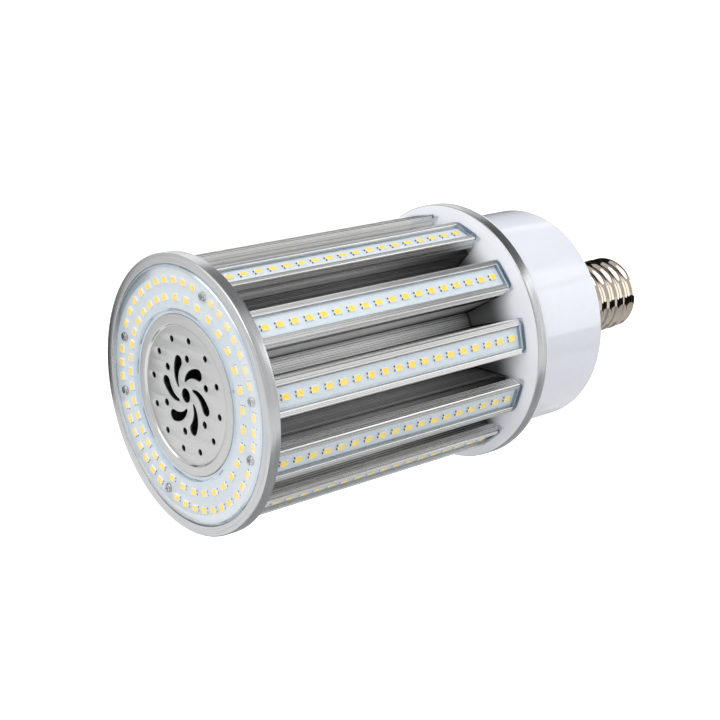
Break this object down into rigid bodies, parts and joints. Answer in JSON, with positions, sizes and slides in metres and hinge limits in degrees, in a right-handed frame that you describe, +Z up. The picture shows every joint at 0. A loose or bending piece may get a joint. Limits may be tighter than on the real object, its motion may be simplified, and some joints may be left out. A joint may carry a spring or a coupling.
{
  "type": "corn led bulb",
  "caption": "Large corn lamp: a ribbed metal star with covered light bars all round, a lit ring on its vented front face, and a white driver housing with a screw cap.",
  "frame": {"origin": "centre of the screw cap's plain rim, where the cap's shell meets the white housing", "axes": "+X along the lamp's axis, out of the cap's centre contact; the lit face looks along -X; +Z up with the lamp lying level, the way it is pictured"},
  "size_m": [0.2935, 0.1296, 0.1296],
  "materials": {
    "brushed_aluminium": "brushed round the ring, clear anodised",
    "satin_aluminium": "satin, fine turned lines",
    "star_aluminium": "extruded, fine lines along its length",
    "clear_plastic": "clear polycarbonate, glossy",
    "white_board": "white solder mask on aluminium board",
    "diode_yellow": "white packages with yellow phosphor",
    "screw_steel": "plain steel",
    "white_plastic": "smooth moulded white, semi-gloss",
    "nickel_plate": "warm nickel plate on rolled brass",
    "black_insulator": "black glass-like insulator",
    "solder_contact": "tinned contact",
    "driver_board": "green laminate",
    "transformer_black": "taped ferrite core",
    "capacitor_sleeve": "shrink sleeve",
    "choke_core": "coated ferrite ring",
    "lead_sleeve": "insulated wire"
  },
  "bodies": {
    "root": {"bezel_ring": "brushed_aluminium", "face_lens": "clear_plastic", "face_board": "white_board", "face_leds_outer": "diode_yellow", "face_leds_inner": "diode_yellow", "face_screws": "screw_steel", "vent_disc": "satin_aluminium", "heat_sink": "star_aluminium", "bar_board_01": "white_board", "bar_leds_01": "diode_yellow", "bar_cover_01": "clear_plastic", "bar_board_02": "white_board", "bar_leds_02": "diode_yellow", "bar_cover_02": "clear_plastic", "bar_board_03": "white_board", "bar_leds_03": "diode_yellow", "bar_cover_03": "clear_plastic", "bar_board_04": "white_board", "bar_leds_04": "diode_yellow", "bar_cover_04": "clear_plastic", "bar_board_05": "white_board", "bar_leds_05": "diode_yellow", "bar_cover_05": "clear_plastic", "bar_board_06": "white_board", "bar_leds_06": "diode_yellow", "bar_cover_06": "clear_plastic", "bar_board_07": "white_board", "bar_leds_07": "diode_yellow", "bar_cover_07": "clear_plastic", "bar_board_08": "white_board", "bar_leds_08": "diode_yellow", "bar_cover_08": "clear_plastic", "bar_board_09": "white_board", "bar_leds_09": "diode_yellow", "bar_cover_09": "clear_plastic", "bar_board_10": "white_board", "bar_leds_10": "diode_yellow", "bar_cover_10": "clear_plastic", "bar_board_11": "white_board", "bar_leds_11": "diode_yellow", "bar_cover_11": "clear_plastic", "bar_board_12": "white_board", "bar_leds_12": "diode_yellow", "bar_cover_12": "clear_plastic", "flange": "white_plastic", "trim_ring": "brushed_aluminium", "driver_housing": "white_plastic", "screw_shell": "nickel_plate", "cap_insulator": "black_insulator", "centre_contact": "solder_contact", "driver_board": "driver_board", "driver_transformer": "transformer_black", "driver_capacitors": "capacitor_sleeve", "driver_choke": "choke_core", "cap_leads": "lead_sleeve"}
  },
  "joints": []
}
